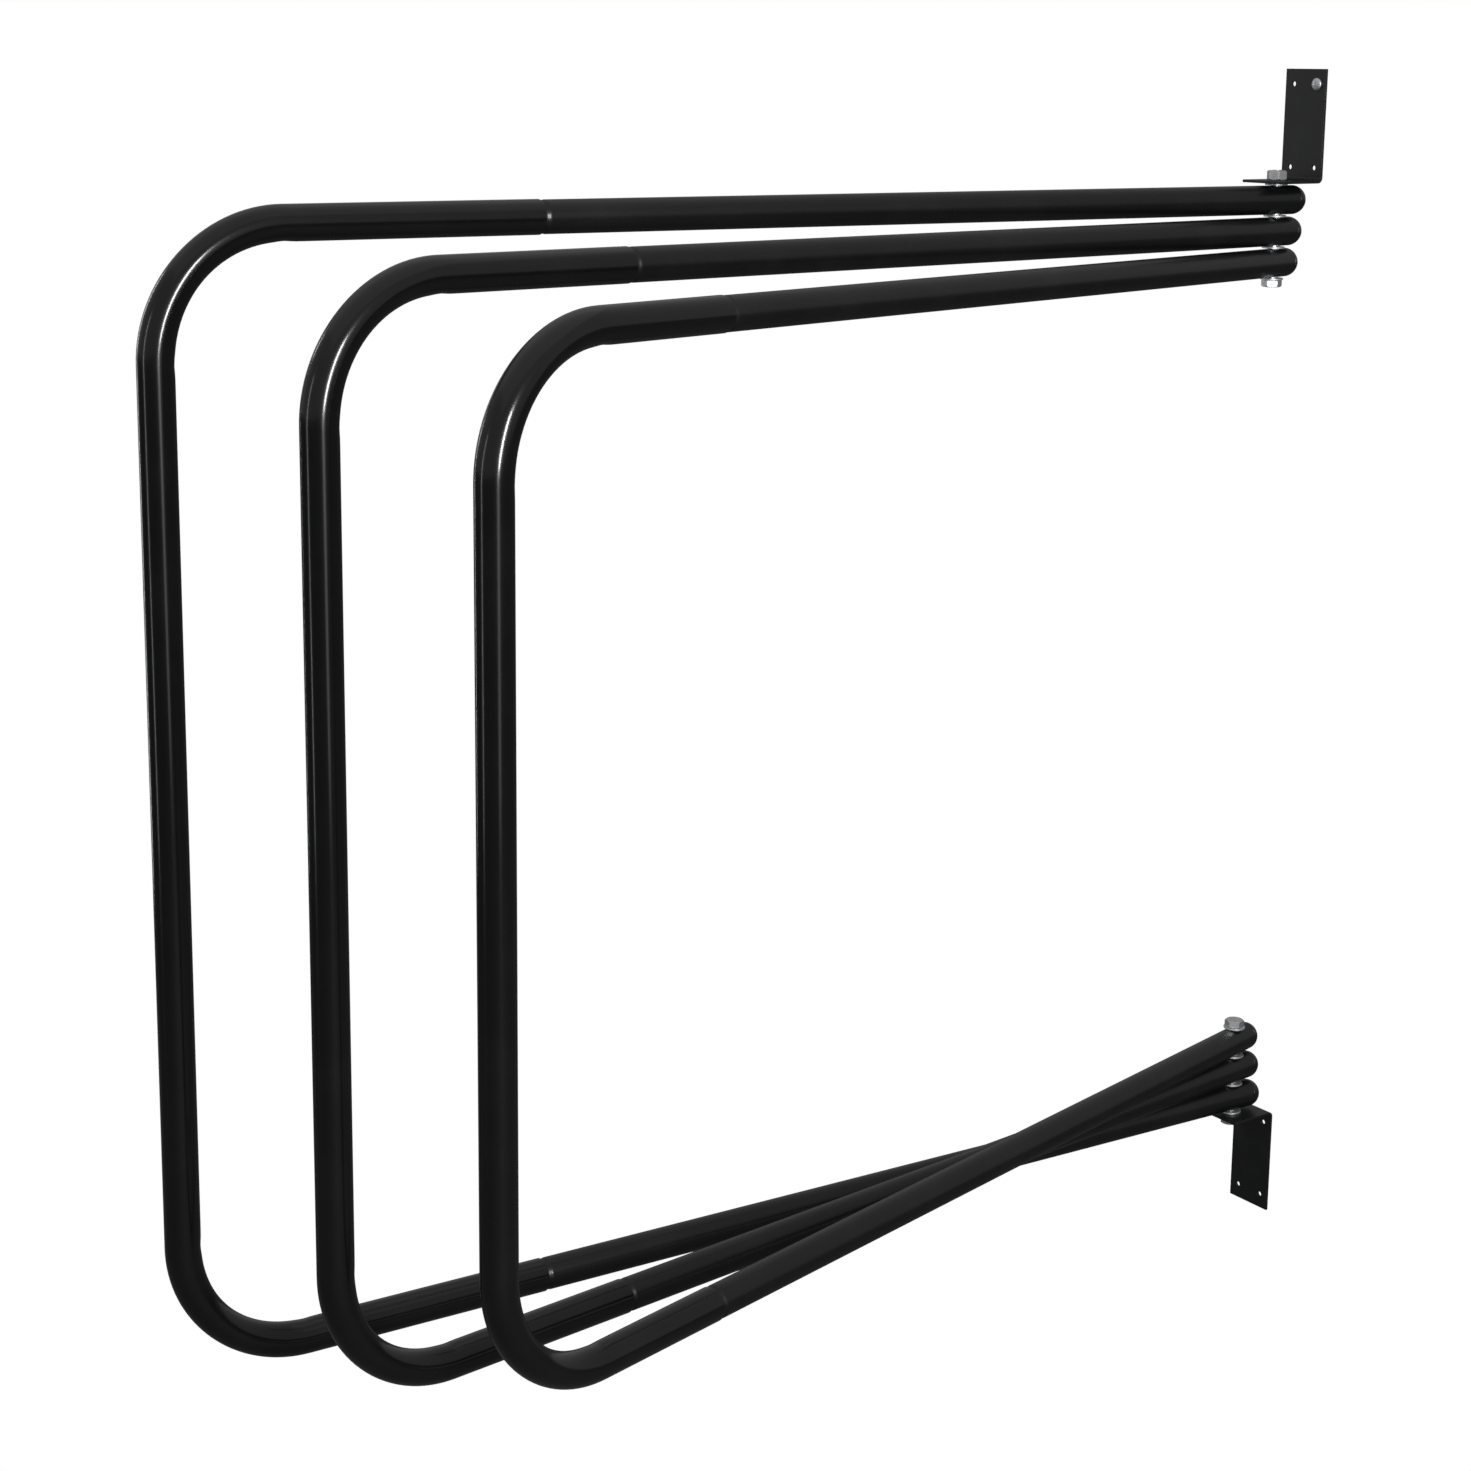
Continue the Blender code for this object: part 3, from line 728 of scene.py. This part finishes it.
def pivot_bolt(side, hardware):
    """Hex bolt with a chamfered head, washer face, plain shank and threaded end. It is made
    head up from the head's underside, and turned over where the head hangs below."""
    low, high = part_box(f"{side}_pivot_bolt")
    centre, corner, turn = hex_place(f"{side}_pivot_bolt")
    radius, length = hardware.bolt / 2, high.z - low.z - hardware.head_height
    way = 1 if side == "lower" else -1
    head = hex_body(corner, turn, hardware.head_height, (1,), hardware.washer_face,
                    hardware.sides)
    thread_top = hardware.thread_length - length
    profile = [(0, -length), (radius - 1.2 * MM, -length)]
    profile += threaded(radius, hardware.thread_depth, hardware.thread_pitch,
                        0.8 * MM - length, thread_top)
    profile += [(radius, thread_top), (radius, 2 * MM), (0, 2 * MM)]
    bm = carve(head, [turned(profile, hardware.sides)], "UNION")
    centre.z = high.z - hardware.head_height if way > 0 else low.z + hardware.head_height
    bm.transform(Matrix.Translation(centre) @ Matrix.Scale(way, 4, (0, 0, 1)))
    return bm


def pivot_nut(side, hardware, pivot_radius):
    """Hex nut chamfered on both ends, with a countersunk bore."""
    low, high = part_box(f"{side}_pivot_nut")
    centre, corner, turn = hex_place(f"{side}_pivot_nut")
    height, sink = high.z - low.z, 0.8 * MM
    body = hex_body(corner, turn, height, (0, 1), 0, hardware.sides)
    wide = pivot_radius + 2 * sink
    bore = [(0, -sink), (wide, -sink), (pivot_radius, sink), (pivot_radius, height - sink),
            (wide, height + sink), (0, height + sink)]
    bm = carve(body, [turned(bore, hardware.sides)])
    centre.z = low.z
    bm.transform(Matrix.Translation(centre))
    return bm


def flat_washer(side, number, hardware):
    """Punched washer: one face's rim rolled over, the other left crisp."""
    low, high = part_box(f"{side}_washer_{number}")
    outer, bore = (high.x - low.x) / 2, hardware.washer_bore / 2
    rolled, crisp = 0.55 * MM, 0.15 * MM
    corners = [(bore, low.z), (outer, low.z), (outer, high.z), (bore, high.z)]
    rounding = (crisp, crisp, rolled, rolled)
    profile = []
    for index, (corner, radius) in enumerate(zip(corners, rounding)):
        profile += rounded(corner, corners[index - 1], corners[(index + 1) % 4], radius)
    spot = Matrix.Translation(((low.x + high.x) / 2, (low.y + high.y) / 2, 0))
    return turned(profile, hardware.sides, spot)


def recess_outline(hardware, spread=1.0):
    half, tip = hardware.recess_slot / 2 * spread, hardware.recess_span / 2 * spread
    points = []
    for quarter in range(4):
        turn = Matrix.Rotation(quarter * math.pi / 2, 2)
        points += [tuple(turn @ Vector(point))
                   for point in ((half, -half), (tip, -half), (tip, half))]
    return points


def wall_screw(hardware):
    """Pan-head screw with a tapered cross recess, a threaded shank and a point."""
    low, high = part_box("wall_screw")
    head_radius, length_under = (high.x - low.x) / 2, high.y - low.y - hardware.screw_head
    radius, depth = hardware.screw_shank / 2, 0.9 * MM
    steps, skirt = 14, 0.35
    crown = [(head_radius * math.cos(step * math.pi / 2 / steps),
              hardware.screw_head * (skirt + (1 - skirt) * math.sin(step * math.pi / 2 / steps)))
             for step in range(steps)] + [(0, hardware.screw_head)]
    thread = threaded(radius, depth, hardware.screw_pitch, hardware.screw_point - length_under,
                      -hardware.screw_pitch)
    point = [(0, -length_under)]
    for step in range(1, 4):
        z = -length_under + hardware.screw_point * step / 4
        point += [(radius * step / 4 * 0.62, z - 0.6 * MM), (radius * step / 4, z)]
    rim = rounded((head_radius, 0), (radius, 0), (head_radius, 1), 0.3 * MM, 3)
    profile = point + thread + [(radius, -hardware.screw_pitch), (radius, 0)] + rim + crown
    outwards = Matrix.Rotation(math.pi / 2, 4, "X")
    recess = prism(recess_outline(hardware, 0.8), hardware.screw_head - hardware.recess_depth,
                   hardware.screw_head * 1.2)
    top = [vert for vert in recess.verts if vert.co.z > hardware.screw_head]
    bmesh.ops.scale(recess, verts=top, vec=(1.3, 1.3, 1))
    bm = carve(turned(profile, hardware.sides), [recess])
    bm.transform(Matrix.Translation(((low.x + high.x) / 2, low.y + hardware.screw_head,
                                     (low.z + high.z) / 2)) @ outwards)
    return bm


# ---- Operators ------------------------------------------------------------------------------
class RACK_OT_bent_tubes(bpy.types.Operator):
    """Build the three C-shaped bent tubes in gloss black"""
    bl_idname = "rack.bent_tubes"
    bl_label = "Bent tubes"

    def execute(self, context):
        scene = context.scene
        for arm in ARMS:
            stand_for(f"{arm}_arm_bent_tube", bent_tube(arm, scene.rack_tubes),
                      gloss_coat(scene.rack_finish))
        return {"FINISHED"}


class RACK_OT_straight_tubes(bpy.types.Operator):
    """Build the six straight tubes that join the bent tubes to the pivots"""
    bl_idname = "rack.straight_tubes"
    bl_label = "Straight tubes"

    def execute(self, context):
        scene = context.scene
        for arm in ARMS:
            for side in SIDES:
                stand_for(f"{arm}_arm_{side}_tube", straight_tube(arm, side, scene.rack_tubes),
                          satin_coat(scene.rack_finish))
        return {"FINISHED"}


class RACK_OT_end_plugs(bpy.types.Operator):
    """Build the six domed plugs in the tubes' wall ends"""
    bl_idname = "rack.end_plugs"
    bl_label = "End plugs"

    def execute(self, context):
        scene = context.scene
        for arm in ARMS:
            for side in SIDES:
                stand_for(f"{arm}_arm_{side}_end_plug", end_plug(arm, side, scene.rack_tubes),
                          moulded_plastic(scene.rack_finish))
        return {"FINISHED"}


class RACK_OT_brackets(bpy.types.Operator):
    """Build the two bent-plate wall brackets"""
    bl_idname = "rack.brackets"
    bl_label = "Wall brackets"

    def execute(self, context):
        scene = context.scene
        for side in SIDES:
            stand_for(f"{side}_wall_bracket",
                      bracket(side, scene.rack_hardware, scene.rack_tubes.hole_radius),
                      bracket_coat(scene.rack_finish))
        return {"FINISHED"}


class RACK_OT_pivot_bolts(bpy.types.Operator):
    """Build the two hex pivot bolts"""
    bl_idname = "rack.pivot_bolts"
    bl_label = "Pivot bolts"

    def execute(self, context):
        scene = context.scene
        for side in SIDES:
            stand_for(f"{side}_pivot_bolt", pivot_bolt(side, scene.rack_hardware),
                      zinc_plate(scene.rack_finish))
        return {"FINISHED"}


class RACK_OT_pivot_nuts(bpy.types.Operator):
    """Build the nuts on the pivot bolts"""
    bl_idname = "rack.pivot_nuts"
    bl_label = "Pivot nuts"

    def execute(self, context):
        scene = context.scene
        for side in SIDES:
            stand_for(f"{side}_pivot_nut",
                      pivot_nut(side, scene.rack_hardware, scene.rack_tubes.hole_radius),
                      zinc_plate(scene.rack_finish))
        return {"FINISHED"}


class RACK_OT_washers(bpy.types.Operator):
    """Build the eight flat washers beside and between the arms"""
    bl_idname = "rack.washers"
    bl_label = "Washers"

    def execute(self, context):
        scene = context.scene
        finish = zinc_plate(scene.rack_finish, "Zinc plate, washers", 0.06)
        for side in SIDES:
            for number in WASHERS:
                stand_for(f"{side}_washer_{number}",
                          flat_washer(side, number, scene.rack_hardware), finish)
        return {"FINISHED"}


class RACK_OT_wall_screw(bpy.types.Operator):
    """Build the pan-head screw in the upper bracket"""
    bl_idname = "rack.wall_screw"
    bl_label = "Wall screw"

    def execute(self, context):
        scene = context.scene
        stand_for("wall_screw", wall_screw(scene.rack_hardware),
                  zinc_plate(scene.rack_finish))
        return {"FINISHED"}


def seen_and_unseen(tree, seen, unseen_shader):
    """Mixes a flat bright colour for the camera with another shader for everything else."""
    bright = add_node(tree, "ShaderNodeEmission" if tree.nodes.get("Material Output")
                      else "ShaderNodeBackground", {0: opaque(seen), 1: 1.0})
    path = add_node(tree, "ShaderNodeLightPath")
    return add_node(tree, "ShaderNodeMixShader", {0: path.outputs["Is Camera Ray"],
                                                  1: unseen_shader, 2: bright.outputs[0]})


def make_floor(studio):
    low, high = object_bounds()
    bm = bmesh.new()
    middle = Vector(((low.x + high.x) / 2, (low.y + high.y) / 2, low.z - studio.floor_drop))
    bmesh.ops.create_grid(bm, x_segments=8, y_segments=8, size=studio.floor_size / 2,
                          matrix=Matrix.Translation(middle))
    mesh = to_mesh(bm, "studio_floor")
    material = bpy.data.materials.new("Pale studio floor")
    material.use_nodes = True
    tree = material.node_tree
    shader = tree.nodes["Principled BSDF"]
    shader.inputs["Base Color"].default_value = opaque(studio.floor)
    shader.inputs["Roughness"].default_value = 0.9
    mixed = seen_and_unseen(tree, studio.backdrop, shader.outputs[0])
    tree.links.new(mixed.outputs[0], tree.nodes["Material Output"].inputs["Surface"])
    mesh.materials.append(material)
    floor = bpy.data.objects.new("studio_floor", mesh)
    bpy.context.scene.collection.objects.link(floor)
    floor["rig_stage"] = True


def make_surround(studio):
    world = bpy.data.worlds.new("Studio surround")
    bpy.context.scene.world = world
    world.use_nodes = True
    tree = world.node_tree
    dim = tree.nodes["Background"]
    dim.inputs["Color"].default_value = opaque(studio.surround)
    mixed = seen_and_unseen(tree, studio.backdrop, dim.outputs[0])
    tree.links.new(mixed.outputs[0], tree.nodes["World Output"].inputs["Surface"])


def area_light(name, place, target, size, power):
    light = bpy.data.lights.new(name, "AREA")
    light.shape, light.size, light.size_y = "RECTANGLE", size[0], size[1]
    light.energy = power
    lamp = bpy.data.objects.new(name, light)
    lamp.location = place
    lamp.rotation_euler = (Vector(target) - Vector(place)).to_track_quat("-Z", "Y").to_euler()
    bpy.context.scene.collection.objects.link(lamp)


def make_lights(studio, centre):
    """Places each light by its turn to the left of the camera's line to the rack."""
    to_camera = Vector(studio.camera_place) - centre
    heading = math.atan2(to_camera.y, to_camera.x)

    def around(left, distance, height):
        turn = heading - math.radians(left)
        return centre + Vector((distance * math.cos(turn), distance * math.sin(turn), height))

    area_light("Key box", around(-23, 3.2, 0.93), centre, (0.36, 1.35), studio.key_power)
    area_light("Low panel", around(-23, 3.25, 0.0), centre, (0.70, 1.6), studio.low_power)
    area_light("Left strip", around(60, 3.2, 0.3), centre, (0.12, 2.2), studio.strip_power)
    area_light("Rim strip", around(115, 3.0, 0.3), centre, (0.16, 2.4), studio.rim_power)
    area_light("Top panel", around(60, 0.4, 2.6), centre, (4.0, 4.0), studio.top_power)


def make_camera(studio):
    data = bpy.data.cameras.new("Camera")
    data.sensor_width, data.lens, data.shift_y = 36.0, studio.lens, studio.shift
    data.clip_start, data.clip_end = 0.05, 100.0
    camera = bpy.data.objects.new("Camera", data)
    turn = (Matrix.Rotation(studio.camera_heading, 4, "Z")
            @ Matrix.Rotation(math.pi / 2 - studio.camera_tilt, 4, "X")
            @ Matrix.Rotation(studio.camera_roll, 4, "Z"))
    camera.matrix_world = Matrix.Translation(studio.camera_place) @ turn
    bpy.context.scene.collection.objects.link(camera)
    bpy.context.scene.camera = camera


class RACK_OT_studio(bpy.types.Operator):
    """Set up the pale floor, white surround, soft lights and camera"""
    bl_idname = "rack.studio"
    bl_label = "Studio"

    def execute(self, context):
        studio = context.scene.rack_studio
        make_floor(studio)
        make_surround(studio)
        make_lights(studio, (cad_low + cad_high) / 2)
        make_camera(studio)
        context.scene.view_settings.view_transform = "Standard"
        return {"FINISHED"}


OPERATORS = (RACK_OT_bent_tubes, RACK_OT_straight_tubes, RACK_OT_end_plugs, RACK_OT_brackets,
             RACK_OT_pivot_bolts, RACK_OT_pivot_nuts, RACK_OT_washers, RACK_OT_wall_screw,
             RACK_OT_studio)
SETTINGS = {"rack_tubes": RackTubeSettings, "rack_hardware": RackHardwareSettings,
            "rack_finish": RackFinishSettings, "rack_studio": RackStudioSettings}


class RACK_PT_pieces(bpy.types.Panel):
    """Lists the rack's pieces"""
    bl_idname = "RACK_PT_pieces"
    bl_label = "Swing-arm wall rack"
    bl_space_type = "VIEW_3D"
    bl_region_type = "UI"
    bl_category = "Rack"

    def draw(self, context):
        for operator in OPERATORS:
            self.layout.operator(operator.bl_idname)
        for name in SETTINGS:
            box = self.layout.box()
            settings = getattr(context.scene, name)
            for key in settings.__annotations__:
                box.prop(settings, key)


def register():
    for item in (*SETTINGS.values(), *OPERATORS, RACK_PT_pieces):
        bpy.utils.register_class(item)
    for name, settings in SETTINGS.items():
        setattr(bpy.types.Scene, name, PointerProperty(type=settings))


def unregister():
    for name in SETTINGS:
        delattr(bpy.types.Scene, name)
    for item in (RACK_PT_pieces, *reversed(OPERATORS), *SETTINGS.values()):
        bpy.utils.unregister_class(item)


def main():
    register()
    for operator in OPERATORS:
        getattr(bpy.ops.rack, operator.bl_idname.split(".")[1])()


if __name__ == "__main__":
    main()
